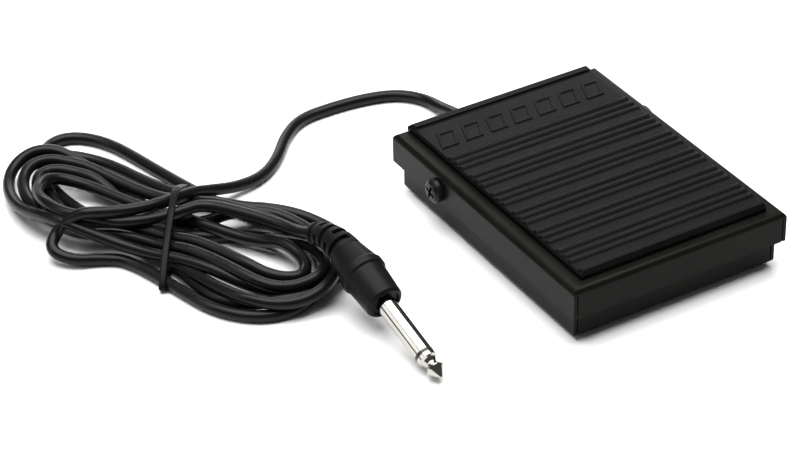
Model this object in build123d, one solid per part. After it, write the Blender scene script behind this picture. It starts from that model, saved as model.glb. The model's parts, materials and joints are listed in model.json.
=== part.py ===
from build123d import *
import math
import os

# Sustain pedal with its cord and jack plug, in millimetres.
# +Z is up, -Y is the toe end that is pressed, +Y is the hinge and cord end.
# The origin is on the floor under the middle of the pedal.

# ---- folded steel cover, which is the treadle ----
COVER_WIDTH = 80.0
COVER_LENGTH = 106.0
COVER_TOP = 21.0
FLANGE_EDGE = 10.4
SHEET = 1.2
BEND_RADIUS = 2.0
CORNER_SLIT = 0.4

# ---- folded steel tray, which is the base ----
TRAY_INSET_SIDE = 2.0
TRAY_INSET_FRONT = 2.8
TRAY_INSET_BACK = 3.5
TRAY_WALL_FRONT = 13.8
TRAY_WALL_BACK = 17.6
MAT_THICKNESS = 1.0
MAT_INSET = 3.0

# ---- hinge screws ----
HINGE_FROM_BACK = 27.8
HINGE_HEIGHT = 14.5
PRESS_ANGLE = 3.5
SHOULDER_DIAMETER = 5.0
THREAD_DIAMETER = 4.0
HINGE_CLEARANCE = 0.05
HEAD_DIAMETER = 8.0
HEAD_HEIGHT = 2.8
HEAD_GAP = 0.15
RECESS_SPAN = 5.0
RECESS_SLOT = 1.1
RECESS_DEPTH = 1.5
RECESS_TURN = 20.0
WASHER_DIAMETER = 9.5
WASHER_GAP = 0.1
NUT_ACROSS = 7.0
NUT_THICKNESS = 3.2
THREAD_LENGTH = 5.5

# ---- rubber tread pad ----
PAD_MARGIN_SIDE = 5.2
PAD_MARGIN_FRONT = 4.0
PAD_MARGIN_BACK = 0.8
PAD_THICKNESS = 2.6
PAD_RECESS = 0.6
PAD_BEVEL = 1.2
LIP_FRONT = 2.8
LIP_BACK = 3.7
BADGE_FIELD = 21.5
RIB_WIDTH = 2.25
RIB_PITCH = 3.25
RIBS_IN_GROUP = 3
GROUP_PITCH = 12.36
BAR_HEIGHT = 8.6
BAR_WIDTH = 6.6
BAR_PITCH = 9.4
BAR_SLANT = 3.0
BAR_LINE = 0.9
BAR_RELIEF = 0.35

# ---- stops and return spring ----
LEDGE_DEPTH = 8.0
LEDGE_WIDTH = 60.0
STOP_STRIP = 1.5
STOP_GAP = 0.2
BUMPER_DIAMETER = 8.0
BUMPER_STEM = 4.0
BUMPER_FROM_FRONT = 9.0
BUMPER_FROM_SIDE = 9.0
SPRING_FROM_HINGE = 49.2
SPRING_DIAMETER = 12.0
SPRING_WIRE = 1.2
SPRING_TURNS = 5.0
SPRING_CLEARANCE = 0.15
SEAT_FLANGE = 1.0
SEAT_BOSS = 3.0

# ---- microswitch ----
SWITCH_X = 10.0
SWITCH_WIDTH = 5.8
SWITCH_LENGTH = 12.8
SWITCH_HEIGHT = 6.5
SWITCH_ABOVE_FLOOR = 3.8
CONTACT_REACH = 31.2
LEVER_REACH = 11.0
LEVER_PAST_CONTACT = 3.0
LEVER_WIDTH = 3.6
LEVER_SHEET = 0.3
LEVER_EYE = 1.7
LEVER_PIN = 0.8
PIN_ABOVE_BODY = 1.15
PIN_FROM_END = 1.4
LUG_GAP = 0.15
PLUNGER_REACH = 4.0
PLUNGER_DIAMETER = 1.6
PLUNGER_DEPTH = 2.2
PLUNGER_CLEARANCE = 0.1
CONTACT_GAP = 0.15
POST_RADIUS = 2.0
TERMINAL_PITCH = 5.08
TERMINAL_LENGTH = 3.3
TERMINAL_WIDTH = 1.0
TERMINAL_SHEET = 0.5
SWITCH_SCREW = 2.0
SWITCH_SCREW_PITCH = 6.5
SWITCH_SCREW_HEIGHT = 1.6
BRACKET_SHEET = 1.0
BRACKET_FOOT = 9.0
RIVET_DIAMETER = 3.0

# ---- cord and its clamp ----
CORD_DIAMETER = 4.0
CORD_X = -3.0
CORD_EXIT_HEIGHT = 6.2
GROMMET_TAIL = 11.5
GROMMET_FLANGE = 8.4
GROMMET_NECK = 6.4
CLAMP_FROM_BACK = 12.0
CLAMP_LENGTH = 6.0
CLAMP_WIDTH = 16.0
CLAMP_CROWN = 1.2
CLAMP_SCREW = 2.5
CONDUCTOR_DIAMETER = 1.2

# ---- tied hank of cord: each lobe is an ellipse (x, y, half length, half width, angle) ----
HANK_HEIGHT = 9.2
HEEL_LOBE = (-127.5, 97.5, 41.0, 25.0, 108.0)
TOE_LOBE = (-100.5, 41.5, 43.0, 26.0, 105.0)
PLUG_HOLLOW = 60.0
TIE_WIDTH = 2.6
TIE_THICKNESS = 0.8
TIE_LENGTH = 58.0
TIE_CORNER = 3.0
TIE_PLACE = (-117.0, 62.0)
TIE_ANGLE = 55.0

# ---- jack plug, standard 6.35 mm ----
PLUG_FACE = Vector(-83.8, -15.6, 11.0)
PLUG_POINT = Vector(-83.2, -47.1, 2.6)
PLUG_DIAMETER = 6.35
SLEEVE_LENGTH = 22.2
INSULATOR_WIDTH = 1.3
SLEEVE_BORE = 3.4
SLEEVE_NECK = 0.4
SLEEVE_FLANGE = 1.0
SLEEVE_SEAT = 3.0
INSULATOR_FLANGE = 2.0
ROD_DIAMETER = 2.2
ROD_TAIL = 1.5
TIP_SHOULDER = 1.3
TIP_WAIST = 1.9
TIP_BALL = 2.98
GRIP_RECESS = 0.8
GRIP_RECESS_WIDTH = 1.6
GRIP_END_RADIUS = 6.2
GRIP_BACK_RADIUS = 6.9
GRIP_LENGTH = 12.0
COLLAR_RADIUS = 7.5
COLLAR_LENGTH = 3.4
CONE_LENGTH = 7.6
BOOT_RADIUS_FRONT = 5.4
BOOT_RADIUS_BACK = 3.9
BOOT_CORE = 3.3
BOOT_RIBS = 6
BOOT_END = Vector(-85.9, 23.8, 15.0)

# Hand-chosen points of the cord on the floor, from the grommet to the hank.
FEED_POINTS = [
    (-3.0, 71.5, 6.2),
    (-3.0, 82.0, 3.2),
    (-4.2, 92.2, 2.1),
    (-10.4, 99.6, 2.1),
    (-21.0, 103.2, 2.1),
    (-34.0, 104.4, 2.1),
    (-47.0, 103.8, 2.1),
    (-57.0, 96.4, 2.1),
    (-65.5, 86.0, 2.1),
    (-75.5, 78.6, 2.2),
    (-87.0, 76.4, 3.6),
    (-97.5, 75.0, 7.0),
]
# The last stretch, from the top of the hank to the plug's boot.
LEAD_POINTS = [
    (-105.0, 63.6, 10.9),
    (-97.6, 52.6, 11.3),
    (-90.6, 40.8, 11.3),
    (-87.0, 29.9, 11.9),
]

# ---- values that follow from the sizes above ----
COVER_UNDERSIDE = COVER_TOP - SHEET
TRAY_SIDE = COVER_WIDTH / 2 - TRAY_INSET_SIDE
TRAY_FRONT = -COVER_LENGTH / 2 + TRAY_INSET_FRONT
TRAY_BACK = COVER_LENGTH / 2 - TRAY_INSET_BACK
FLOOR = MAT_THICKNESS + SHEET
HINGE_Y = COVER_LENGTH / 2 - HINGE_FROM_BACK
PRESS = math.radians(PRESS_ANGLE)
LEVER_Y = HINGE_Y - CONTACT_REACH + LEVER_REACH
LEVER_ANGLE = math.degrees(math.atan(CONTACT_REACH * math.sin(PRESS) / LEVER_REACH))
SWITCH_BOTTOM = FLOOR + SWITCH_ABOVE_FLOOR
SWITCH_TOP = SWITCH_BOTTOM + SWITCH_HEIGHT
SWITCH_Y = LEVER_Y + PIN_FROM_END - SWITCH_LENGTH / 2
LEVER_Z = SWITCH_TOP + PIN_ABOVE_BODY
PAD_LEFT = -COVER_WIDTH / 2 + PAD_MARGIN_SIDE
PAD_FRONT = -COVER_LENGTH / 2 + PAD_MARGIN_FRONT
PAD_BACK = COVER_LENGTH / 2 - PAD_MARGIN_BACK
PAD_TOP = COVER_TOP + PAD_THICKNESS
PAD_FIELD = PAD_TOP - PAD_RECESS
CLAMP_Y = TRAY_BACK - SHEET - CLAMP_FROM_BACK
CORD_EXIT = Vector(CORD_X, TRAY_BACK + GROMMET_TAIL, CORD_EXIT_HEIGHT)
PLUG_AXIS = (PLUG_POINT - PLUG_FACE).normalized()
PLUG_LENGTH = (PLUG_POINT - PLUG_FACE).length
SIDES = (-1, 1)


def underside_when_pressed(y):
    """Height of the cover's underside over the place y, with the treadle fully down."""
    above_hinge = (COVER_UNDERSIDE - HINGE_HEIGHT) / math.cos(PRESS)
    return HINGE_HEIGHT + (y - HINGE_Y) * math.tan(PRESS) + above_hinge


def block(x0, x1, y0, y1, z0, z1):
    """A box between two corners."""
    middle = ((x0 + x1) / 2, (y0 + y1) / 2, (z0 + z1) / 2)
    return Pos(*middle) * Box(x1 - x0, y1 - y0, z1 - z0)


def rod(start, end, radius):
    """A cylinder from one point to another."""
    start = Vector(*start)
    end = Vector(*end)
    place = Plane(origin=start, z_dir=end - start)
    return extrude(place * Circle(radius), (end - start).length)


def turned(outline):
    """A solid of revolution about the local Z axis, from (radius, height) points."""
    face = make_face(Plane.XZ * Polyline(*outline, close=True))
    return revolve(face, Axis.Z)


def route_radii(points):
    """The largest arc radius that each corner's two runs allow."""
    radii = []
    for before, corner, after in zip(points, points[1:], points[2:]):
        first = Vector(*corner) - Vector(*before)
        second = Vector(*after) - Vector(*corner)
        half_turn = math.radians(first.get_angle(second)) / 2
        radii.append(0.45 * min(first.length, second.length) / math.tan(half_turn))
    return radii


def tube(points, diameter, name):
    """A round cord along straight runs joined by tangent arcs."""
    points = [tuple(p) for p in points]
    radii = route_radii(points)
    path = FilletPolyline(*points, radius=radii)
    section = Plane(origin=path @ 0, z_dir=path % 0) * Circle(diameter / 2)
    solid = sweep(section, path=path)
    expected = math.pi * diameter**2 / 4 * path.length
    print(name, "length", round(path.length, 1), "volume share", round(solid.volume / expected, 4))
    print(name, "radii", [round(r, 1) for r in radii])
    return solid


def corner_slits(half_width, front, back, low, high):
    """The open seams where the folded end flanges meet the side flanges."""
    slits = []
    inner = half_width - SHEET
    for side in SIDES:
        for y in (front, back - SHEET):
            x0, x1 = sorted((side * inner, side * (inner - CORNER_SLIT)))
            slits.append(block(x0, x1, y, y + SHEET, low, high))
    return slits


def hinge_holes(solid, diameter, half_width):
    for side in SIDES:
        inside = (side * (half_width - 3 * SHEET), HINGE_Y, HINGE_HEIGHT)
        outside = (side * (half_width + SHEET), HINGE_Y, HINGE_HEIGHT)
        solid -= rod(inside, outside, diameter / 2)
    return solid


def treadle_cover():
    half = COVER_WIDTH / 2
    front = -COVER_LENGTH / 2
    back = COVER_LENGTH / 2
    below = FLANGE_EDGE - SHEET
    outer = block(-half, half, front, back, FLANGE_EDGE, COVER_TOP)
    outer = fillet(outer.faces().sort_by(Axis.Z)[-1].edges(), BEND_RADIUS)
    wall = half - SHEET
    inner = block(-wall, wall, front + SHEET, back - SHEET, below, COVER_UNDERSIDE)
    inner = fillet(inner.faces().sort_by(Axis.Z)[-1].edges(), BEND_RADIUS - SHEET)
    cover = outer - inner
    for slit in corner_slits(half, front, back, below, COVER_TOP - BEND_RADIUS):
        cover -= slit
    return hinge_holes(cover, SHOULDER_DIAMETER + 2 * HINGE_CLEARANCE, half)


def tread_profile():
    """The pad's outline seen from the side: a bevelled front, rib groups, a badge field and a lip."""
    lines = []
    here = (PAD_FRONT, COVER_TOP)

    def to(y, z):
        nonlocal here
        lines.append(Line(here, (y, z)))
        here = (y, z)

    to(PAD_FRONT, PAD_TOP - PAD_BEVEL)
    to(PAD_FRONT + PAD_BEVEL, PAD_TOP)
    to(PAD_FRONT + LIP_FRONT, PAD_TOP)
    to(PAD_FRONT + LIP_FRONT, PAD_FIELD)
    field_end = PAD_BACK - LIP_BACK
    ribs_end = field_end - BADGE_FIELD
    group = RIB_PITCH * (RIBS_IN_GROUP - 1) + RIB_WIDTH
    groups = int((ribs_end - PAD_FRONT - LIP_FRONT - group) / GROUP_PITCH) + 1
    for index in range(groups - 1, -1, -1):
        start = ribs_end + RIB_WIDTH / 2 - group - index * GROUP_PITCH
        for rib in range(RIBS_IN_GROUP):
            y = start + rib * RIB_PITCH
            to(y, PAD_FIELD)
            end = (y + RIB_WIDTH, PAD_FIELD)
            lines.append(ThreePointArc(here, (y + RIB_WIDTH / 2, PAD_TOP), end))
            here = end
    to(field_end, PAD_FIELD)
    to(field_end, PAD_TOP)
    to(PAD_BACK - PAD_BEVEL, PAD_TOP)
    to(PAD_BACK, PAD_TOP - PAD_BEVEL)
    to(PAD_BACK, COVER_TOP)
    to(PAD_FRONT, COVER_TOP)
    return make_face(Wire(lines))


def badge_bar(shrink):
    """The slanted outline of one bar, drawn in from its edge by shrink."""
    end = BAR_HEIGHT / 2 - shrink
    half = BAR_WIDTH / 2 - shrink
    lean = BAR_SLANT / 2
    corners = [(-half - lean, -end), (half - lean, -end), (half + lean, end), (-half + lean, end)]
    return Polygon(*corners, align=None)


def badge_bars():
    """A plain row of slanted outlined bars, raised from the field behind the ribs."""
    count = int((-2 * PAD_LEFT - 2 * PAD_BEVEL) / BAR_PITCH)
    middle_y = PAD_BACK - LIP_BACK - BADGE_FIELD / 2
    bars = []
    for index in range(count):
        x = (index - (count - 1) / 2) * BAR_PITCH
        ring = badge_bar(0) - badge_bar(BAR_LINE)
        place = Pos(x, middle_y, PAD_FIELD - BAR_RELIEF)
        bars.append(place * extrude(ring, 2 * BAR_RELIEF))
    return bars


def tread_pad():
    width = -2 * PAD_LEFT
    place = Plane(origin=(PAD_LEFT, 0, 0), x_dir=(0, 1, 0), z_dir=(1, 0, 0))
    pad = extrude(place * tread_profile(), width)
    for bar in badge_bars():
        pad += bar
    for side in SIDES:
        edge = side * width / 2
        inward = edge - side * (PAD_BEVEL + 1)
        corner = [(edge, PAD_TOP + 1), (edge, PAD_TOP - PAD_BEVEL), (inward, PAD_TOP + 1)]
        wedge = make_face(Plane.XZ * Polyline(*corner, close=True))
        pad -= Pos(0, PAD_BACK + 1, 0) * extrude(wedge, PAD_BACK - PAD_FRONT + 2)
    return pad


def base_tray():
    outer = block(-TRAY_SIDE, TRAY_SIDE, TRAY_FRONT, TRAY_BACK, MAT_THICKNESS, TRAY_WALL_BACK)
    outer = fillet(outer.faces().sort_by(Axis.Z)[0].edges(), BEND_RADIUS)
    wall = TRAY_SIDE - SHEET
    above = TRAY_WALL_BACK + 1
    inner = block(-wall, wall, TRAY_FRONT + SHEET, TRAY_BACK - SHEET, FLOOR, above)
    inner = fillet(inner.faces().sort_by(Axis.Z)[0].edges(), BEND_RADIUS - SHEET)
    tray = outer - inner
    slope = [
        (TRAY_FRONT - 1, TRAY_WALL_FRONT),
        (TRAY_FRONT + BUMPER_FROM_FRONT, TRAY_WALL_FRONT),
        (HINGE_Y - NUT_ACROSS, TRAY_WALL_BACK),
        (HINGE_Y - NUT_ACROSS, above),
        (TRAY_FRONT - 1, above),
    ]
    side_view = Plane(origin=(-TRAY_SIDE - 1, 0, 0), x_dir=(0, 1, 0), z_dir=(1, 0, 0))
    tray -= extrude(make_face(side_view * Polyline(*slope, close=True)), 2 * TRAY_SIDE + 2)
    half = LEDGE_WIDTH / 2
    ledge = TRAY_BACK - LEDGE_DEPTH
    tray += block(-half, half, ledge, TRAY_BACK, TRAY_WALL_BACK - SHEET, TRAY_WALL_BACK)
    for slit in corner_slits(TRAY_SIDE, TRAY_FRONT, TRAY_BACK, MAT_THICKNESS + BEND_RADIUS, above):
        tray -= slit
    tray = hinge_holes(tray, THREAD_DIAMETER, TRAY_SIDE)
    inside = (CORD_X, TRAY_BACK - 2 * SHEET, CORD_EXIT_HEIGHT)
    outside = (CORD_X, TRAY_BACK + 1, CORD_EXIT_HEIGHT)
    tray -= rod(inside, outside, GROMMET_NECK / 2)
    for x, y in bumper_places():
        tray -= rod((x, y, 0), (x, y, FLOOR + 1), BUMPER_STEM / 2)
    for x, y in rivet_places():
        tray -= rod((x, y, 0), (x, y, FLOOR + 1), RIVET_DIAMETER / 2)
    return tray


def base_mat():
    half = TRAY_SIDE - MAT_INSET
    mat = block(-half, half, TRAY_FRONT + MAT_INSET, TRAY_BACK - MAT_INSET, 0, MAT_THICKNESS)
    return fillet(mat.edges().filter_by(Axis.Z), MAT_INSET)


def pivot_screws():
    """Shoulder screws: the cover turns on the shoulders, and the nuts pull them onto the tray."""
    head_under = COVER_WIDTH / 2 + HEAD_GAP
    screws = []
    for side in SIDES:
        radius = HEAD_DIAMETER / 2
        dome = radius * 0.75
        outline = [
            (0, TRAY_SIDE - THREAD_LENGTH),
            (THREAD_DIAMETER / 2, TRAY_SIDE - THREAD_LENGTH),
            (THREAD_DIAMETER / 2, TRAY_SIDE),
            (SHOULDER_DIAMETER / 2, TRAY_SIDE),
            (SHOULDER_DIAMETER / 2, head_under),
            (radius, head_under),
            (radius, head_under + HEAD_HEIGHT * 0.6),
            (dome, head_under + HEAD_HEIGHT * 0.93),
            (dome / 2, head_under + HEAD_HEIGHT),
            (0, head_under + HEAD_HEIGHT),
        ]
        screw = turned(outline)
        top = head_under + HEAD_HEIGHT
        recess = Box(RECESS_SPAN, RECESS_SLOT, 2 * RECESS_DEPTH)
        recess += Box(RECESS_SLOT, RECESS_SPAN, 2 * RECESS_DEPTH)
        screw -= Pos(0, 0, top) * Rot(0, 0, RECESS_TURN * side) * recess
        place = Plane(origin=(0, HINGE_Y, HINGE_HEIGHT), x_dir=(0, 1, 0), z_dir=(side, 0, 0))
        screws.append(place.location * screw)
    return Compound(children=screws)


def pivot_washers():
    gap_start = TRAY_SIDE + WASHER_GAP
    gap_end = COVER_WIDTH / 2 - SHEET - WASHER_GAP
    washers = []
    for side in SIDES:
        ends = [(side * x, HINGE_Y, HINGE_HEIGHT) for x in (gap_start, gap_end)]
        ring = rod(*ends, WASHER_DIAMETER / 2) - rod(*ends, SHOULDER_DIAMETER / 2 + HINGE_CLEARANCE)
        washers.append(ring)
    return Compound(children=washers)


def pivot_nuts():
    nuts = []
    for side in SIDES:
        place = Plane(origin=(side * (TRAY_SIDE - SHEET), HINGE_Y, HINGE_HEIGHT), z_dir=(-side, 0, 0))
        profile = RegularPolygon(NUT_ACROSS / 2, 6, major_radius=False) - Circle(THREAD_DIAMETER / 2)
        nuts.append(extrude(place * profile, NUT_THICKNESS))
    return Compound(children=nuts)


def rear_stop_strip():
    top = COVER_UNDERSIDE - STOP_GAP
    half = LEDGE_WIDTH / 2 - STOP_STRIP
    strip = block(-half, half, TRAY_BACK - LEDGE_DEPTH + 1, TRAY_BACK - 1, TRAY_WALL_BACK, top)
    return fillet(strip.edges().filter_by(Axis.Z), 1.0)


def bumper_places():
    x = TRAY_SIDE - BUMPER_FROM_SIDE
    y = TRAY_FRONT + BUMPER_FROM_FRONT
    return [(side * x, y) for side in SIDES]


def down_stop_bumpers():
    bumpers = []
    radius = BUMPER_DIAMETER / 2
    for x, y in bumper_places():
        top = underside_when_pressed(y - radius) - STOP_GAP
        outline = [
            (0, MAT_THICKNESS),
            (BUMPER_STEM / 2, MAT_THICKNESS),
            (BUMPER_STEM / 2, FLOOR),
            (radius, FLOOR),
            (radius - 0.6, top - 1),
            (radius - 1.4, top),
            (0, top),
        ]
        bumpers.append(Pos(x, y, 0) * turned(outline))
    return Compound(children=bumpers)


def spring_y():
    return HINGE_Y - SPRING_FROM_HINGE


def spring_cup(low, direction):
    """A flanged boss that keeps one end of the spring in place."""
    boss = (SPRING_DIAMETER - SPRING_WIRE) / 2 - SPRING_CLEARANCE
    flange = (SPRING_DIAMETER + SPRING_WIRE) / 2 + 2 * SPRING_CLEARANCE
    outline = [
        (0, 0),
        (flange, 0),
        (flange, SEAT_FLANGE),
        (boss, SEAT_FLANGE),
        (boss - 0.6, SEAT_FLANGE + SEAT_BOSS),
        (0, SEAT_FLANGE + SEAT_BOSS),
    ]
    cup = turned(outline)
    if direction < 0:
        cup = Rot(180, 0, 0) * cup
    return Pos(0, spring_y(), low) * cup


def return_spring():
    """A compression spring with ground ends, between the two cups."""
    low = FLOOR + SEAT_FLANGE + SPRING_CLEARANCE / 3
    high = COVER_UNDERSIDE - SEAT_FLANGE - SPRING_CLEARANCE / 3
    height = high - low
    radius = SPRING_DIAMETER / 2
    helix = Helix(pitch=height / SPRING_TURNS, height=height, radius=radius)
    section = Plane(origin=helix @ 0, z_dir=helix % 0) * Circle(SPRING_WIRE / 2)
    coil = sweep(section, path=helix, is_frenet=True)
    reach = SPRING_DIAMETER
    coil = coil & block(-reach, reach, -reach, reach, 0, height)
    return Pos(0, spring_y(), low) * coil


def actuator_post():
    """The round-ended post under the cover that works the switch lever."""
    tilt = math.radians(LEVER_ANGLE)
    reach = POST_RADIUS + CONTACT_GAP + LEVER_SHEET / 2
    centre = LEVER_Z + (LEVER_REACH * math.sin(tilt) + reach) / math.cos(tilt)
    y = LEVER_Y - LEVER_REACH
    post = rod((SWITCH_X, y, centre), (SWITCH_X, y, COVER_UNDERSIDE), POST_RADIUS)
    return post + Pos(SWITCH_X, y, centre) * Sphere(POST_RADIUS, arc_size2=0)


def switch_body():
    half = SWITCH_WIDTH / 2
    y0 = SWITCH_Y - SWITCH_LENGTH / 2
    y1 = SWITCH_Y + SWITCH_LENGTH / 2
    body = block(SWITCH_X - half, SWITCH_X + half, y0, y1, SWITCH_BOTTOM, SWITCH_TOP)
    body = fillet(body.edges().filter_by(Axis.Z), 0.4)
    lug = LEVER_EYE / 2
    slot = LEVER_WIDTH / 2 + LUG_GAP
    for side in SIDES:
        x0, x1 = sorted((SWITCH_X + side * slot, SWITCH_X + side * half))
        body += block(x0, x1, LEVER_Y - lug, LEVER_Y + lug, SWITCH_TOP - 0.5, LEVER_Z)
        body += rod((x0, LEVER_Y, LEVER_Z), (x1, LEVER_Y, LEVER_Z), lug)
    body -= rod(*pin_ends(), LEVER_PIN / 2)
    plunger_y = LEVER_Y - PLUNGER_REACH
    bore = PLUNGER_DIAMETER / 2 + PLUNGER_CLEARANCE
    stroke = PLUNGER_REACH * math.sin(math.radians(LEVER_ANGLE))
    bottom = SWITCH_TOP - PLUNGER_DEPTH - stroke - 2 * PLUNGER_CLEARANCE
    body -= rod((SWITCH_X, plunger_y, bottom), (SWITCH_X, plunger_y, SWITCH_TOP + 1), bore)
    for y in screw_places():
        left = (SWITCH_X - half - 1, y, screw_height())
        right = (SWITCH_X + half + 1, y, screw_height())
        body -= rod(left, right, SWITCH_SCREW / 2)
    return body


def pin_ends():
    half = SWITCH_WIDTH / 2
    return (SWITCH_X - half, LEVER_Y, LEVER_Z), (SWITCH_X + half, LEVER_Y, LEVER_Z)


def screw_places():
    return [SWITCH_Y + side * SWITCH_SCREW_PITCH / 2 for side in SIDES]


def screw_height():
    return SWITCH_BOTTOM + SWITCH_SCREW_HEIGHT


def switch_lever():
    half = LEVER_WIDTH / 2
    length = LEVER_REACH + LEVER_PAST_CONTACT
    eye = rod((-half, 0, 0), (half, 0, 0), LEVER_EYE / 2)
    arm = block(-half, half, -length, 0, -LEVER_SHEET / 2, LEVER_SHEET / 2)
    arm = fillet(arm.edges().filter_by(Axis.Z).sort_by(Axis.Y)[:2], 1.0)
    hole = rod((-half - 1, 0, 0), (half + 1, 0, 0), LEVER_PIN / 2 + HINGE_CLEARANCE)
    lever = eye + arm - hole
    return Pos(SWITCH_X, LEVER_Y, LEVER_Z) * Rot(-LEVER_ANGLE, 0, 0) * lever


def switch_lever_pin():
    return rod(*pin_ends(), LEVER_PIN / 2)


def switch_plunger():
    tilt = math.radians(LEVER_ANGLE)
    underside = PLUNGER_REACH * math.tan(tilt) - LEVER_SHEET / 2 / math.cos(tilt)
    top = LEVER_Z + underside - CONTACT_GAP
    y = LEVER_Y - PLUNGER_REACH
    plunger = rod((SWITCH_X, y, SWITCH_TOP - PLUNGER_DEPTH), (SWITCH_X, y, top), PLUNGER_DIAMETER / 2)
    return fillet(plunger.faces().sort_by(Axis.Z)[-1].edges(), PLUNGER_DIAMETER / 4)


def terminal_places():
    return [SWITCH_Y + index * TERMINAL_PITCH for index in (-1, 0, 1)]


def switch_terminals():
    tabs = []
    half = TERMINAL_WIDTH / 2
    thick = TERMINAL_SHEET / 2
    low = SWITCH_BOTTOM - TERMINAL_LENGTH
    for y in terminal_places():
        tabs.append(block(SWITCH_X - half, SWITCH_X + half, y - thick, y + thick, low, SWITCH_BOTTOM))
    return Compound(children=tabs)


def bracket_face():
    return SWITCH_X + SWITCH_WIDTH / 2


def rivet_places():
    x = bracket_face() + BRACKET_SHEET + BRACKET_FOOT / 2
    return [(x, SWITCH_Y + side * SWITCH_LENGTH / 3) for side in SIDES]


def switch_bracket():
    x0 = bracket_face()
    half = SWITCH_LENGTH / 2 + 1
    x1 = x0 + BRACKET_SHEET
    y0 = SWITCH_Y - half
    y1 = SWITCH_Y + half
    plate = block(x0, x1, y0, y1, FLOOR, SWITCH_TOP - 1)
    foot = block(x0, x1 + BRACKET_FOOT, y0, y1, FLOOR, FLOOR + BRACKET_SHEET)
    bracket = plate + foot
    for y in screw_places():
        bracket -= rod((x0 - 1, y, screw_height()), (x1 + 1, y, screw_height()), SWITCH_SCREW / 2)
    for x, y in rivet_places():
        bracket -= rod((x, y, FLOOR - 1), (x, y, FLOOR + BRACKET_SHEET + 1), RIVET_DIAMETER / 2)
    return bracket


def switch_screws():
    screws = []
    x0 = SWITCH_X - SWITCH_WIDTH / 2
    x1 = bracket_face() + BRACKET_SHEET + SWITCH_SCREW
    for y in screw_places():
        shank = rod((x0, y, screw_height()), (x1, y, screw_height()), SWITCH_SCREW / 2)
        head = rod((x0 - 1.2, y, screw_height()), (x0, y, screw_height()), SWITCH_SCREW * 0.95)
        head -= block(x0 - 1.3, x0 - 0.7, y - 0.2, y + 0.2, screw_height() - 3, screw_height() + 3)
        screws.append(shank + head)
    return Compound(children=screws)


def switch_nuts():
    nuts = []
    for y in screw_places():
        place = Plane(origin=(bracket_face() + BRACKET_SHEET, y, screw_height()), z_dir=(1, 0, 0))
        profile = RegularPolygon(SWITCH_SCREW, 6, major_radius=False) - Circle(SWITCH_SCREW / 2)
        nuts.append(extrude(place * profile, SWITCH_SCREW * 0.8))
    return Compound(children=nuts)


def bracket_rivets():
    rivets = []
    top = FLOOR + BRACKET_SHEET
    for x, y in rivet_places():
        outline = [
            (0, MAT_THICKNESS),
            (RIVET_DIAMETER / 2, MAT_THICKNESS),
            (RIVET_DIAMETER / 2, top),
            (RIVET_DIAMETER * 0.85, top),
            (RIVET_DIAMETER * 0.6, top + 0.8),
            (0, top + 1),
        ]
        rivets.append(Pos(x, y, 0) * turned(outline))
    return Compound(children=rivets)


def clamp_bolts():
    return [CORD_X + side * (CORD_DIAMETER / 2 + CLAMP_WIDTH / 2) / 2 for side in SIDES]


def clamp_half(low, high):
    side = CLAMP_WIDTH / 2
    y0 = CLAMP_Y - CLAMP_LENGTH / 2
    y1 = CLAMP_Y + CLAMP_LENGTH / 2
    part = block(CORD_X - side, CORD_X + side, y0, y1, low, high)
    front = (CORD_X, y0 - 1, CORD_EXIT_HEIGHT)
    back = (CORD_X, y1 + 1, CORD_EXIT_HEIGHT)
    part -= rod(front, back, CORD_DIAMETER / 2)
    for x in clamp_bolts():
        part -= rod((x, CLAMP_Y, clamp_screw_end()), (x, CLAMP_Y, high + 1), CLAMP_SCREW / 2)
    return part


def clamp_screw_end():
    return FLOOR + 1


def clamp_top():
    return CORD_EXIT_HEIGHT + CORD_DIAMETER / 2 + CLAMP_CROWN


def cord_clamp_block():
    return clamp_half(FLOOR, CORD_EXIT_HEIGHT)


def cord_clamp_strap():
    return clamp_half(CORD_EXIT_HEIGHT, clamp_top())


def clamp_screws():
    screws = []
    for x in clamp_bolts():
        top = clamp_top()
        outline = [
            (0, clamp_screw_end()),
            (CLAMP_SCREW / 2, clamp_screw_end()),
            (CLAMP_SCREW / 2, top),
            (CLAMP_SCREW * 0.9, top),
            (CLAMP_SCREW * 0.7, top + 1.4),
            (0, top + 1.5),
        ]
        screw = turned(outline)
        slot = Pos(0, 0, top + 1.5) * Box(0.5, 2 * CLAMP_SCREW, 1.2)
        screws.append(Pos(x, CLAMP_Y, 0) * (screw - slot))
    return Compound(children=screws)


def sheath_end():
    return CLAMP_Y - CLAMP_LENGTH / 2 - 2


def inner_cable():
    end = (CORD_X, TRAY_BACK - 2 * SHEET, CORD_EXIT_HEIGHT)
    return rod((CORD_X, sheath_end(), CORD_EXIT_HEIGHT), end, CORD_DIAMETER / 2)


def conductor(side, terminal, waypoints, name):
    """One insulated wire, from the end of the sheath to the flat of a switch terminal."""
    y = terminal_places()[terminal]
    height = SWITCH_BOTTOM - TERMINAL_LENGTH + CONDUCTOR_DIAMETER
    start = (CORD_X + side * 0.7, sheath_end(), CORD_EXIT_HEIGHT)
    last = [(SWITCH_X - 7.5, y, height), (SWITCH_X - 0.5, y, height)]
    return tube([start, *waypoints, *last], CONDUCTOR_DIAMETER, name)


def signal_wire():
    y = terminal_places()[2]
    waypoints = [(CORD_X + 1, sheath_end() - 6, 5.2), (CORD_X + 1.8, (sheath_end() + y) / 2, 4.4)]
    return conductor(1, 2, waypoints, "signal_wire")


def return_wire():
    y = terminal_places()[1]
    waypoints = [
        (CORD_X - 1, sheath_end() - 7, 5.0),
        (CORD_X - 1.6, (sheath_end() + y) / 2, 4.2),
        (CORD_X - 0.6, y + 5, SWITCH_BOTTOM - TERMINAL_LENGTH + 0.9),
    ]
    return conductor(-1, 1, waypoints, "return_wire")


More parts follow.
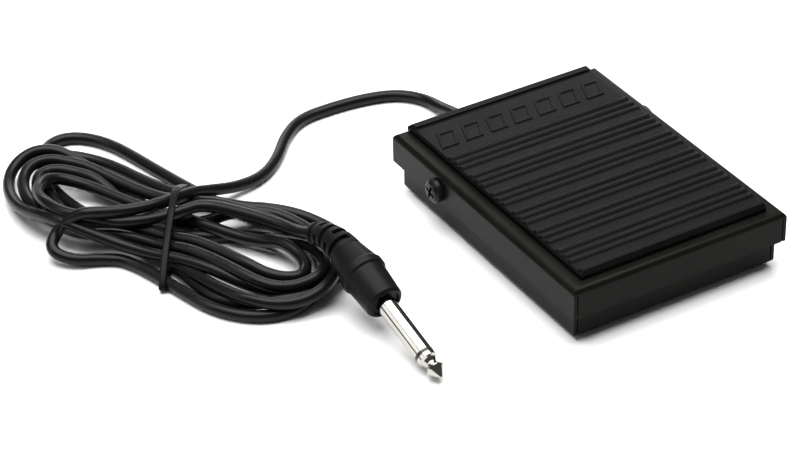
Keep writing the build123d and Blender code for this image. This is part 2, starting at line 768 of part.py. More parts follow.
def cord_grommet():
    """The moulded strain relief: flanges on both faces of the wall and a tapered tail."""
    outline = [
        (0, -2 * SHEET),
        (GROMMET_FLANGE / 2 - 0.4, -2 * SHEET),
        (GROMMET_FLANGE / 2 - 0.4, -SHEET),
        (GROMMET_NECK / 2, -SHEET),
        (GROMMET_NECK / 2, 0),
        (GROMMET_FLANGE / 2, 0),
        (GROMMET_FLANGE / 2, 1.2),
        (GROMMET_FLANGE / 2 - 0.6, 1.5),
        (GROMMET_NECK / 2, 1.6),
        (CORD_DIAMETER / 2 + 0.5, GROMMET_TAIL),
        (0, GROMMET_TAIL),
    ]
    place = Plane(origin=(CORD_X, TRAY_BACK, CORD_EXIT_HEIGHT), z_dir=(0, 1, 0))
    return place.location * turned(outline)


def cord_feed():
    return tube([CORD_EXIT, *FEED_POINTS], CORD_DIAMETER, "cord_feed")


def cord_lead():
    return tube([*LEAD_POINTS, BOOT_END], CORD_DIAMETER, "cord_lead")


def lobe(x, y, long, short, angle):
    return Pos(x, y, 0) * Rot(0, 0, angle) * Ellipse(long, short)


def cord_hank():
    """The tied hank as one closed solid: two lobes that fan out from the tie."""
    hank = extrude(lobe(*HEEL_LOBE) + lobe(*TOE_LOBE), HANK_HEIGHT)
    hank -= rod(PLUG_FACE, PLUG_FACE - PLUG_AXIS * PLUG_HOLLOW, COLLAR_RADIUS + 1)
    return hank - cord_tie()


def cord_tie():
    """A flat plastic tie: a closed band round the middle of the hank."""
    height = HANK_HEIGHT + CORD_DIAMETER + 1
    outer = RectangleRounded(TIE_LENGTH, height, TIE_CORNER)
    inner = offset(outer, -TIE_THICKNESS)
    angle = math.radians(TIE_ANGLE)
    along = Vector(math.cos(angle), math.sin(angle), 0)
    across = along.cross(Vector(0, 0, 1))
    place = Plane(origin=(*TIE_PLACE, height / 2), x_dir=along, z_dir=across)
    return extrude(place * (outer - inner), TIE_WIDTH / 2, both=True)


def along_plug(solid):
    """Places a turned piece whose +Z is the plug's axis and whose zero is the grip's end face."""
    return Plane(origin=PLUG_FACE, z_dir=PLUG_AXIS).location * solid


def plug_sleeve():
    outer = PLUG_DIAMETER / 2
    bore = SLEEVE_BORE / 2
    back = INSULATOR_FLANGE - GRIP_LENGTH
    outline = [
        (bore, back),
        (outer + SLEEVE_FLANGE, back),
        (outer + SLEEVE_FLANGE, -SLEEVE_SEAT),
        (outer - SLEEVE_NECK, -SLEEVE_SEAT),
        (outer - SLEEVE_NECK, -GRIP_RECESS),
        (outer, -GRIP_RECESS),
        (outer, SLEEVE_LENGTH),
        (bore, SLEEVE_LENGTH),
    ]
    return along_plug(turned(outline))


def plug_insulator():
    outer = PLUG_DIAMETER / 2
    inner = ROD_DIAMETER / 2
    bore = SLEEVE_BORE / 2
    end = SLEEVE_LENGTH + INSULATOR_WIDTH
    outline = [
        (inner, -GRIP_LENGTH),
        (bore + INSULATOR_FLANGE, -GRIP_LENGTH),
        (bore + INSULATOR_FLANGE, INSULATOR_FLANGE - GRIP_LENGTH),
        (bore, INSULATOR_FLANGE - GRIP_LENGTH),
        (bore, SLEEVE_LENGTH),
        (outer, SLEEVE_LENGTH),
        (outer, end),
        (inner, end),
    ]
    return along_plug(turned(outline))


def plug_tip():
    """The tip contact with its waist and pointed ball, on the rod that runs back through the sleeve."""
    outer = PLUG_DIAMETER / 2
    core = ROD_DIAMETER / 2
    start = SLEEVE_LENGTH + INSULATOR_WIDTH
    waist = start + TIP_SHOULDER + 1.7
    ball = waist + 2.4
    outline = [
        (0, -GRIP_LENGTH - ROD_TAIL),
        (core, -GRIP_LENGTH - ROD_TAIL),
        (core, start),
        (outer, start),
        (outer, start + TIP_SHOULDER),
        (TIP_WAIST + 0.6, start + TIP_SHOULDER + 0.5),
        (TIP_WAIST, waist),
        (TIP_WAIST, waist + 0.5),
        (TIP_BALL - 0.25, ball - 0.5),
        (TIP_BALL, ball),
        (TIP_BALL - 0.25, ball + 0.4),
        (0.45, PLUG_LENGTH - 0.3),
        (0, PLUG_LENGTH),
    ]
    return along_plug(turned(outline))


def plug_grip():
    sleeve = PLUG_DIAMETER / 2
    core = ROD_DIAMETER / 2
    flange = SLEEVE_BORE / 2 + INSULATOR_FLANGE
    back = -GRIP_LENGTH
    collar = back - COLLAR_LENGTH
    cone = collar - CONE_LENGTH
    outline = [
        (sleeve - SLEEVE_NECK, -SLEEVE_SEAT),
        (sleeve - SLEEVE_NECK, -GRIP_RECESS),
        (sleeve + GRIP_RECESS_WIDTH, -GRIP_RECESS),
        (sleeve + GRIP_RECESS_WIDTH, 0),
        (GRIP_END_RADIUS - 0.7, 0),
        (GRIP_END_RADIUS, -0.8),
        (GRIP_BACK_RADIUS, back),
        (COLLAR_RADIUS - 0.4, back),
        (COLLAR_RADIUS, back - 0.4),
        (COLLAR_RADIUS, collar + 0.8),
        (COLLAR_RADIUS - 0.5, collar),
        (BOOT_RADIUS_FRONT, cone),
        (0, cone),
        (0, back - ROD_TAIL),
        (core, back - ROD_TAIL),
        (core, back),
        (flange, back),
        (flange, back + INSULATOR_FLANGE),
        (sleeve + SLEEVE_FLANGE, back + INSULATOR_FLANGE),
        (sleeve + SLEEVE_FLANGE, -SLEEVE_SEAT),
    ]
    return along_plug(turned(outline))


def plug_boot():
    """The ribbed strain relief, which bends down from the grip to the cord."""
    start = PLUG_FACE - PLUG_AXIS * (GRIP_LENGTH + COLLAR_LENGTH + CONE_LENGTH)
    bend = TangentArc(start, BOOT_END, tangent=-PLUG_AXIS)
    core = sweep(Plane(origin=bend @ 0, z_dir=bend % 0) * Circle(BOOT_CORE), path=bend)
    print("plug_boot", "length", round(bend.length, 1), "end direction", bend % 1)
    pitch = 1 / BOOT_RIBS
    for index in range(BOOT_RIBS):
        share = (index + 0.5) * pitch
        radius = BOOT_RADIUS_FRONT + (BOOT_RADIUS_BACK - BOOT_RADIUS_FRONT) * share
        disc = Plane(origin=bend @ share, z_dir=bend % share) * Circle(radius)
        core += extrude(disc, bend.length * pitch * 0.31, both=True)
    return core


PARTS = [
    base_tray,
    base_mat,
    treadle_cover,
    tread_pad,
    pivot_screws,
    pivot_washers,
    pivot_nuts,
    rear_stop_strip,
    down_stop_bumpers,
    actuator_post,
    return_spring,
    switch_body,
    switch_lever,
    switch_lever_pin,
    switch_plunger,
    switch_terminals,
    switch_bracket,
    switch_screws,
    switch_nuts,
    bracket_rivets,
    cord_clamp_block,
    cord_clamp_strap,
    clamp_screws,
    inner_cable,
    signal_wire,
    return_wire,
    cord_grommet,
    cord_feed,
    cord_hank,
    cord_tie,
    cord_lead,
    plug_boot,
    plug_grip,
    plug_sleeve,
    plug_insulator,
    plug_tip,
]

os.makedirs("parts", exist_ok=True)
made = {part.__name__: part() for part in PARTS}
made["spring_seat"] = spring_cup(FLOOR, 1)
made["spring_cap"] = spring_cup(COVER_UNDERSIDE, -1)
for node, solid in made.items():
    export_step(solid, f"parts/{node}.step")

switch_press = PLUNGER_REACH * math.tan(math.radians(LEVER_ANGLE))
print("lever ratio", round(LEVER_ANGLE / PRESS_ANGLE, 4))
print("plunger ratio, m per rad", round(-switch_press / 1000 / PRESS, 6))
print("hinge", 0, HINGE_Y, HINGE_HEIGHT)
print("lever hinge", SWITCH_X, round(LEVER_Y, 3), round(LEVER_Z, 3))
print("plug axis", PLUG_AXIS, "length", round(PLUG_LENGTH, 2))
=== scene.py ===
import json
import math

import bmesh
import bpy
import numpy as np
from mathutils import Matrix, Vector
from mathutils.geometry import convex_hull_2d


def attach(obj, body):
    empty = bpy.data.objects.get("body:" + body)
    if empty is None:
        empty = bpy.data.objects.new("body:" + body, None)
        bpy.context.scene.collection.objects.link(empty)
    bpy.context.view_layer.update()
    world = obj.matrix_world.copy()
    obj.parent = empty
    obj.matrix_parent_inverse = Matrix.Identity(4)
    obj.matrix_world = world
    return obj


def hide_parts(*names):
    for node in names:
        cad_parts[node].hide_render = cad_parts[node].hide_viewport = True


# A small sustain pedal with its cord tied in a hank, in metres.
# +Z is up, -Y is the toe end that is pressed, +Y is the hinge and cord end.

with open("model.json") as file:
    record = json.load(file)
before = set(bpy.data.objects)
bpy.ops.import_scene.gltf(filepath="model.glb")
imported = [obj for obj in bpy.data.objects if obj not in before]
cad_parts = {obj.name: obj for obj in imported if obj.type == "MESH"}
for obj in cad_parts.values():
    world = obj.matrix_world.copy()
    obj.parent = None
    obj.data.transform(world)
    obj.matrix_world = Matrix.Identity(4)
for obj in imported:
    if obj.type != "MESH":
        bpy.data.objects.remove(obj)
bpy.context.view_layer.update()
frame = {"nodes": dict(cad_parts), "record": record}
NODES = frame["nodes"]
MM = 0.001


# ---------------------------------------------------------------- camera and room

CAMERA_PLACE = Vector((-0.4386, -0.6294, 0.5207))
CAMERA_TARGET = Vector((-0.0519, 0.0308, 0.0))
CAMERA_LENS = 129.6
CAMERA_ROLL = math.radians(-1.26)


def add_camera():
    data = bpy.data.cameras.new("camera")
    data.lens = CAMERA_LENS
    data.sensor_width = 36.0
    data.clip_start = 0.05
    data.clip_end = 20.0
    camera = bpy.data.objects.new("camera", data)
    look = (CAMERA_TARGET - CAMERA_PLACE).to_track_quat("-Z", "Y").to_matrix().to_4x4()
    turn = Matrix.Rotation(CAMERA_ROLL, 4, "Z")
    camera.matrix_world = Matrix.Translation(CAMERA_PLACE) @ look @ turn
    bpy.context.collection.objects.link(camera)
    bpy.context.scene.camera = camera


def add_softbox(name, place, size, power, target=(-0.05, 0.03, 0.0)):
    data = bpy.data.lights.new(name, "AREA")
    data.shape = "RECTANGLE"
    data.size = size[0]
    data.size_y = size[1]
    data.energy = power
    light = bpy.data.objects.new(name, data)
    light.location = place
    aim = Vector(target) - Vector(place)
    light.rotation_euler = aim.to_track_quat("-Z", "Y").to_euler()
    bpy.context.collection.objects.link(light)


def add_room():
    world = bpy.data.worlds.new("studio")
    world.use_nodes = True
    background = world.node_tree.nodes["Background"]
    background.inputs["Color"].default_value = (1.0, 1.0, 1.0, 1.0)
    background.inputs["Strength"].default_value = 0.10
    bpy.context.scene.world = world
    bpy.context.scene.view_settings.view_transform = "Standard"
    add_softbox("top_softbox", (-0.05, 0.1, 0.95), (1.3, 0.9), 24.0)
    add_softbox("left_softbox", (-0.9, 0.3, 0.5), (0.25, 0.6), 1.0)
    add_softbox("back_softbox", (0.3, 0.9, 0.4), (0.8, 0.25), 3.0)
    mesh = bpy.data.meshes.new("floor")
    shape = bmesh.new()
    bmesh.ops.create_grid(shape, x_segments=1, y_segments=1, size=6.0)
    shape.to_mesh(mesh)
    shape.free()
    floor = bpy.data.objects.new("floor", mesh)
    bpy.context.collection.objects.link(floor)
    paper = bpy.data.materials.new("floor_paper")
    paper.use_nodes = True
    shader = paper.node_tree.nodes["Principled BSDF"]
    shader.inputs["Base Color"].default_value = (0.93, 0.93, 0.93, 1.0)
    shader.inputs["Roughness"].default_value = 0.9
    mesh.materials.append(paper)


# ---------------------------------------------------------------- the cord's route, in millimetres

CORD_DIAMETER = 4.0
CORD_EXIT = (-3.0, 61.0, 6.2)
FEED_ROUTE = [
    (-3.0, 71.5, 6.2),
    (-3.0, 82.0, 3.2),
    (-4.2, 92.2, 2.1),
    (-10.4, 99.6, 2.1),
    (-21.0, 103.2, 2.1),
    (-34.0, 104.4, 2.1),
    (-47.0, 103.8, 2.1),
    (-57.0, 96.4, 2.1),
    (-65.5, 86.0, 2.1),
    (-75.5, 78.6, 2.2),
    (-87.0, 76.4, 3.6),
    (-97.5, 75.0, 7.0),
]
# Seen from above: over the hank, round its left side, and back under it to its waist.
OVER_ROUTE = [
    (-106.0, 72.0),
    (-118.0, 68.2),
    (-129.0, 68.2),
    (-138.0, 70.6),
    (-144.0, 74.0),
]
UNDER_ROUTE = [
    (-149.5, 79.5),
    (-155.0, 74.5),
    (-150.0, 68.0),
    (-141.5, 65.0),
    (-134.0, 59.5),
]
LEAD_ROUTE = [
    (-105.0, 63.6, 10.9),
    (-97.6, 52.6, 11.3),
    (-90.6, 40.8, 11.3),
    (-87.0, 29.9, 11.9),
]
BOOT_END = (-85.9, 23.8, 15.0)

# Each turn of the hank goes from its waist round a loop on the toe side and a loop on the
# heel side. A loop is an oval: place across, reach along, half length, half width, tilt.
HANK_MIDDLE = np.array([-115.0, 63.5])
HANK_LEAN = math.radians(16.0)
TOE_LOOPS = [
    (3, 27, 31, 23, -15),
    (10, 32, 27, 26, 22),
    (8, 32, 28, 21, -18),
    (8, 33, 25, 18, -10),
    (6, 34, 23, 14, 0),
    (4, 35, 17, 11, 4),
]
HEEL_LOOPS = [
    (6, 42, 31, 16, -13),
    (-1, 34, 29, 15, -10),
    (-10, 37, 31, 18, -10),
    (-9, 35, 25, 15, -3),
    (-10, 33, 21, 12, -2),
    (-12, 30, 19, 12, -6),
]
LEFT_WAIST = [-17, -9, -12, -15, -10, -5]
RIGHT_WAIST = [20, 15, 0, 10, -5, 4]
LOOP_STEPS = 12
CROSSING_STEPS = 6
# from the last heel loop over the middle of the hank to the lead
LAST_ROUTE = [
    (-133.0, 67.5),
    (-123.5, 63.5),
    (-114.5, 63.0),
]
SHARES = np.linspace(0, 1, 5, endpoint=False)
# how tightly the cord sags over a gap, and how a route is settled and spread out
BRIDGE_RADIUS = 60.0
FLOOR_GAP = 0.1
FOLD_HEIGHT = 8.0
OWN_PIECES = 3
SETTLE_PASSES = 600
LAYER = 4.5
SLIDES = 20
SLIDE_SMOOTHING = 12
# heights, as shares of the rise over a strand laid before: alongside it, and across it
BESIDE = 0.86
NESTED = 0.62
PRESSED = 0.85


def touch_angles(oval, side, waist):
    """Round an oval from its far end: the angle that faces away from a place in the waist,
    and how far to either side of it a straight run from there touches."""
    across, reach, length, width, tilt = oval
    angle = math.radians(tilt)
    dx = waist - across
    dy = -side * reach
    x = (dx * math.cos(angle) + dy * math.sin(angle)) / width
    y = (dy * math.cos(angle) - dx * math.sin(angle)) / (side * length)
    return math.atan2(x, y), math.acos(min(0.98, 1 / max(math.hypot(x, y), 1.001)))


def loop_points(oval, side, left, right):
    """One loop of the hank in its own plane, from its left to its right."""
    across, reach, length, width, tilt = oval
    angle = math.radians(tilt)
    middle, spread = touch_angles(oval, side, left)
    start = (middle + spread) % math.tau - math.tau
    middle, spread = touch_angles(oval, side, right)
    end = (middle - spread) % math.tau
    turn = np.linspace(start, end, LOOP_STEPS + 1)
    x = width * np.sin(turn)
    y = side * length * np.cos(turn)
    return np.column_stack(
        [
            across + x * math.cos(angle) - y * math.sin(angle),
            side * reach + x * math.sin(angle) + y * math.cos(angle),
        ]
    )


def crossing_points(here, waist, there):
    """The run from one loop past a place in the waist to the next loop."""
    share = np.arange(1, CROSSING_STEPS)[:, None] / CROSSING_STEPS
    pull = np.array([[waist, 0.0]])
    return (1 - share) ** 2 * here + 2 * share * (1 - share) * pull + share**2 * there


def hank_halves():
    """The hank's half turns seen from above, each from one place in the waist to the next."""
    across = np.array([math.cos(HANK_LEAN), math.sin(HANK_LEAN)])
    along = np.array([-math.sin(HANK_LEAN), math.cos(HANK_LEAN)])
    loops = []
    pulls = []
    for turn, (toe, heel) in enumerate(zip(TOE_LOOPS, HEEL_LOOPS)):
        next_left = LEFT_WAIST[min(turn + 1, len(LEFT_WAIST) - 1)]
        loops.append(loop_points(toe, -1, LEFT_WAIST[turn], RIGHT_WAIST[turn]))
        loops.append(loop_points(heel, 1, next_left, RIGHT_WAIST[turn])[::-1])
        pulls.extend([RIGHT_WAIST[turn], next_left])
    halves = []
    rest = np.zeros((0, 2))
    for index, loop in enumerate(loops):
        flat = np.vstack([rest, loop])
        if index + 1 < len(loops):
            run = crossing_points(loop[-1], pulls[index], loops[index + 1][0])
            flat = np.vstack([flat, run[: CROSSING_STEPS // 2]])
            rest = run[CROSSING_STEPS // 2 :]
        halves.append(HANK_MIDDLE + flat[:, :1] * across + flat[:, 1:] * along)
    return halves


def unit(lines):
    return lines / (np.hypot(*lines.T)[:, None] + 0.000001)


def lay_down(pile, flat, first, last=None):
    """Adds a route to the pile. Each part lies on the floor or on what was laid before it, and
    the cord is stiff enough to bridge a gap. Gives the route's points with their heights."""
    pile = np.array(pile).reshape(-1, 3)
    flat = np.array(flat, dtype=float)
    lines = unit(np.gradient(pile[:, :2], axis=0)) if len(pile) else pile[:, :2]
    need = np.full(len(flat), CORD_DIAMETER / 2 + FLOOR_GAP)
    for index in range(len(flat) - 1):
        own = unit(flat[index + 1 : index + 2] - flat[index : index + 1])[0]
        for share in SHARES:
            here = flat[index] * (1 - share) + flat[index + 1] * share
            away = np.hypot(*(pile[:, :2] - here).T)
            close = away < CORD_DIAMETER
            if close.any():
                rise = np.sqrt(CORD_DIAMETER**2 - away[close] ** 2)
                rise *= np.where(np.abs(lines[close] @ own) > BESIDE, NESTED, PRESSED)
                over = (pile[close, 2] + rise).max()
                need[index : index + 2] = np.maximum(need[index : index + 2], over)
    need[0] = max(need[0], first)
    if last is not None:
        need[-1] = last
    steps = np.hypot(*np.diff(flat, axis=0).T)
    sag = steps[:-1] * steps[1:] / (2 * BRIDGE_RADIUS)
    height = need.copy()
    for _ in range(SETTLE_PASSES):
        height[1:-1] = np.maximum(need[1:-1], (height[:-2] + height[2:]) / 2 - sag)
    return np.column_stack([flat, height])


def slide_off(pile, flat, layer):
    """Moves a route sideways off the strands beside it that are already a layer high, so that
    the hank spreads out and doesn't stack up."""
    pile = np.array(pile).reshape(-1, 3)
    pile = pile[pile[:, 2] > layer]
    if len(pile) < 3:
        return flat
    flat = np.array(flat, dtype=float)
    lines = unit(np.gradient(pile[:, :2], axis=0))
    for _ in range(SLIDES):
        own = unit(np.gradient(flat, axis=0))
        push = np.zeros_like(flat)
        for index in range(2, len(flat) - 2):
            offset = flat[index] - pile[:, :2]
            away = np.hypot(*offset.T)
            away[np.abs(lines @ own[index]) < BESIDE] = np.inf
            nearest = np.argmin(away)
            if away[nearest] < CORD_DIAMETER:
                side = np.array([-own[index][1], own[index][0]])
                way = 1 if side @ offset[nearest] > 0 else -1
                push[index] = side * way * (CORD_DIAMETER - away[nearest])
        for _ in range(SLIDE_SMOOTHING):
            push[1:-1] = (push[:-2] + 2 * push[1:-1] + push[2:]) / 4
        flat = flat + push / 2
    return flat


def close_points(route):
    """Close points along a laid route, for the pile."""
    points = []
    for here, there in zip(route, route[1:]):
        points.extend(here * (1 - share) + there * share for share in SHARES)
    return points


def cord_route():
    """The whole route: the turns are laid on the run under them, and two runs on the turns."""
    under = lay_down([], UNDER_ROUTE, FOLD_HEIGHT)
    laid = close_points(under)
    turns = [under[-1]]
    own = OWN_PIECES * len(SHARES)
    for half in hank_halves():
        flat = slide_off(laid[:-own], [turns[-1][:2], *half], LAYER)
        placed = lay_down(laid[:-own], flat, turns[-1][2])
        laid.extend(close_points(placed))
        turns.extend(placed[1:])
    flat = [turns[-1][:2], *LAST_ROUTE, LEAD_ROUTE[0][:2]]
    last = lay_down(laid[:-own], flat, turns[-1][2])
    laid.extend(close_points(last))
    start = FEED_ROUTE[-1]
    over = lay_down(laid, [start[:2], *OVER_ROUTE, UNDER_ROUTE[0]], start[2], under[0][2])
    middle = [*over[1:-1], *under, *turns[1:], *last[1:-1]]
    return [CORD_EXIT, *FEED_ROUTE, *middle, *LEAD_ROUTE, BOOT_END]


def nurbs(name, points, closed=False):
    """A curve object with one NURBS spline on these points, given in millimetres."""
    curve = bpy.data.curves.new(name, "CURVE")
    curve.dimensions = "3D"
    spline = curve.splines.new("NURBS")
    spline.points.add(len(points) - 1)
    for point, place in zip(spline.points, points):
        point.co = (*[v * MM for v in place], 1.0)
    spline.order_u = 3
    if closed:
        spline.use_cyclic_u = True
    else:
        spline.use_endpoint_u = True
    piece = bpy.data.objects.new(name, curve)
    bpy.context.collection.objects.link(piece)
    return piece


def line_points(piece):
    """The points that a bare curve runs through, in order."""
    mesh = bpy.data.meshes.new_from_object(piece)
    points = [v.co.copy() for v in mesh.vertices]
    bpy.data.meshes.remove(mesh)
    return points


def pedal_cord():
    cord = nurbs("pedal_cord", cord_route())
    cord.data.resolution_u = 6
    line = line_points(cord)
    # The half thickness is each point's radius times the bevel's depth. A curve's own box takes
    # in the points' radii, so they hold the real half thickness.
    for point in cord.data.splines[0].points:
        point.radius = CORD_DIAMETER / 2 * MM
    cord.data.bevel_depth = 1.0
    cord.data.bevel_resolution = 5
    return cord, line


# ---------------------------------------------------------------- shader groups and finishes


def add_node(tree, kind, **settings):
    node = tree.nodes.new(kind)
    for key, value in settings.items():
        setattr(node, key, value)
    return node


def number(tree, operation, first, second):
    """A Math node of two inputs, each a socket or a number."""
    node = add_node(tree, "ShaderNodeMath", operation=operation)
    for socket, value in zip(node.inputs, (first, second)):
        if isinstance(value, bpy.types.NodeSocket):
            tree.links.new(value, socket)
        else:
            socket.default_value = value
    return node.outputs[0]


def blend_colours(tree, share, dark, light):
    node = add_node(tree, "ShaderNodeMix", data_type="RGBA")
    tree.links.new(share, node.inputs["Factor"])
    for socket, value in ((node.inputs[6], dark), (node.inputs[7], light)):
        if isinstance(value, bpy.types.NodeSocket):
            tree.links.new(value, socket)
        else:
            socket.default_value = value
    return node.outputs[2]


def noise(tree, where, scale, detail=3.0, roughness=0.5, stretch=None):
    node = add_node(tree, "ShaderNodeTexNoise")
    node.inputs["Detail"].default_value = detail
    node.inputs["Roughness"].default_value = roughness
    if isinstance(scale, bpy.types.NodeSocket):
        tree.links.new(scale, node.inputs["Scale"])
    else:
        node.inputs["Scale"].default_value = scale
    if stretch:
        mapping = add_node(tree, "ShaderNodeMapping")
        mapping.inputs["Scale"].default_value = stretch
        tree.links.new(where, mapping.inputs["Vector"])
        where = mapping.outputs["Vector"]
    tree.links.new(where, node.inputs["Vector"])
    return node.outputs["Fac"]


def new_group(name, inputs, outputs):
    tree = bpy.data.node_groups.new(name, "ShaderNodeTree")
    for label, kind, value in inputs:
        socket = tree.interface.new_socket(label, in_out="INPUT", socket_type=kind)
        socket.default_value = value
    for label, kind in outputs:
        tree.interface.new_socket(label, in_out="OUTPUT", socket_type=kind)
    given = add_node(tree, "NodeGroupInput")
    result = add_node(tree, "NodeGroupOutput")
    return tree, given.outputs, result.inputs


def surface_grain():
    """The fine pebble of a coat or a moulding: a height, and a broad mask of patches."""
    inputs = [("Grain Size", "NodeSocketFloat", 1500.0), ("Patch Size", "NodeSocketFloat", 40.0)]
    outputs = [("Height", "NodeSocketFloat"), ("Patches", "NodeSocketFloat")]
    tree, given, result = new_group("surface_grain", inputs, outputs)
    where = add_node(tree, "ShaderNodeTexCoord").outputs["Object"]
    fine = noise(tree, where, given["Grain Size"], detail=2.0, roughness=0.6)
    broad = noise(tree, where, number(tree, "MULTIPLY", given["Grain Size"], 0.22), detail=2.0)
    height = number(tree, "ADD", fine, number(tree, "MULTIPLY", broad, 0.8))
    tree.links.new(height, result["Height"])
    patches = noise(tree, where, given["Patch Size"], detail=4.0, roughness=0.6)
    spread = add_node(tree, "ShaderNodeMapRange")
    spread.inputs["From Min"].default_value = 0.35
    spread.inputs["From Max"].default_value = 0.65
    tree.links.new(patches, spread.inputs["Value"])
    tree.links.new(spread.outputs["Result"], result["Patches"])
    return tree


def settled_dust():
    """Faint lint and dust on faces that look up: a mask from 0 to 1."""
    inputs = [("Amount", "NodeSocketFloat", 0.3)]
    tree, given, result = new_group("settled_dust", inputs, [("Mask", "NodeSocketFloat")])
    where = add_node(tree, "ShaderNodeTexCoord").outputs["Object"]
    cells = add_node(tree, "ShaderNodeTexVoronoi")
    cells.inputs["Scale"].default_value = 420.0
    cells.inputs["Randomness"].default_value = 1.0
    tree.links.new(where, cells.inputs["Vector"])
    specks = add_node(tree, "ShaderNodeMapRange")
    specks.inputs["From Min"].default_value = 0.09
    specks.inputs["From Max"].default_value = 0.03
    tree.links.new(cells.outputs["Distance"], specks.inputs["Value"])
    rare = number(tree, "GREATER_THAN", noise(tree, where, 160.0, detail=1.0), 0.6)
    film = number(tree, "MULTIPLY", noise(tree, where, 55.0, detail=5.0, roughness=0.7), 0.25)
    both = number(tree, "ADD", number(tree, "MULTIPLY", specks.outputs["Result"], rare), film)
    normal = add_node(tree, "ShaderNodeSeparateXYZ")
    tree.links.new(add_node(tree, "ShaderNodeNewGeometry").outputs["Normal"], normal.inputs["Vector"])
    upward = number(tree, "MAXIMUM", normal.outputs["Z"], 0.0)
    mask = number(tree, "MULTIPLY", number(tree, "MULTIPLY", both, upward), given["Amount"])
    tree.links.new(mask, result["Mask"])
    return tree


def place_group(tree, group, **values):
    node = add_node(tree, "ShaderNodeGroup", node_tree=group)
    for label, value in values.items():
        node.inputs[label.replace("_", " ")].default_value = value
    return node.outputs


def new_material(name):
    material = bpy.data.materials.new(name)
    material.use_nodes = True
    tree = material.node_tree
    return material, tree, tree.nodes["Principled BSDF"]


def bump_from(tree, shader, height, depth):
    bump = add_node(tree, "ShaderNodeBump")
    bump.inputs["Distance"].default_value = depth
    bump.inputs["Strength"].default_value = 1.0
    tree.links.new(height, bump.inputs["Height"])
    tree.links.new(bump.outputs["Normal"], shader.inputs["Normal"])


def roughness_from(tree, shader, share, low, high):
    spread = add_node(tree, "ShaderNodeMapRange")
    spread.inputs["To Min"].default_value = low
    spread.inputs["To Max"].default_value = high
    tree.links.new(share, spread.inputs["Value"])
    tree.links.new(spread.outputs["Result"], shader.inputs["Roughness"])


DUST_COLOUR = (0.18, 0.17, 0.15, 1.0)


def dark_finish(name, dark, light, rough, shine, grain_size, grain_depth, dust=0.2, patch_size=40.0):
    """A black coat, rubber or vinyl with its own grain, patches of gloss and a little dust."""
    material, tree, shader = new_material(name)
    shader.inputs["Specular IOR Level"].default_value = shine
    grain = place_group(tree, GRAIN, Grain_Size=grain_size, Patch_Size=patch_size)
    dirt = place_group(tree, DUST, Amount=dust)
    colour = blend_colours(tree, grain["Patches"], (*dark, 1.0), (*light, 1.0))
    colour = blend_colours(tree, dirt["Mask"], colour, DUST_COLOUR)
    tree.links.new(colour, shader.inputs["Base Color"])
    roughness_from(tree, shader, grain["Patches"], *rough)
    bump_from(tree, shader, grain["Height"], grain_depth)
    return material


def pale_plastic(name, dark, light, rough):
    material, tree, shader = new_material(name)
    grain = place_group(tree, GRAIN, Grain_Size=900.0, Patch_Size=60.0)
    colour = blend_colours(tree, grain["Patches"], (*dark, 1.0), (*light, 1.0))
    tree.links.new(colour, shader.inputs["Base Color"])
    roughness_from(tree, shader, grain["Patches"], *rough)
    bump_from(tree, shader, grain["Height"], 0.00001)
    return material


def bare_metal(name, dark, light, rough, brush, smudge=30.0):
    """Plated or bare metal: fine scratches drawn out along one direction, and faint smudges."""
    material, tree, shader = new_material(name)
    shader.inputs["Metallic"].default_value = 1.0
    where = add_node(tree, "ShaderNodeTexCoord").outputs["Object"]
    scratches = noise(tree, where, 1.0, detail=4.0, roughness=0.7, stretch=brush)
    smudges = noise(tree, where, smudge, detail=4.0)
    half_scratches = number(tree, "MULTIPLY", scratches, 0.5)
    half_smudges = number(tree, "MULTIPLY", smudges, 0.5)
    both = number(tree, "ADD", half_scratches, half_smudges)
    colour = blend_colours(tree, smudges, (*dark, 1.0), (*light, 1.0))
    tree.links.new(colour, shader.inputs["Base Color"])
    roughness_from(tree, shader, both, *rough)
    bump_from(tree, shader, scratches, 0.000004)
    return material


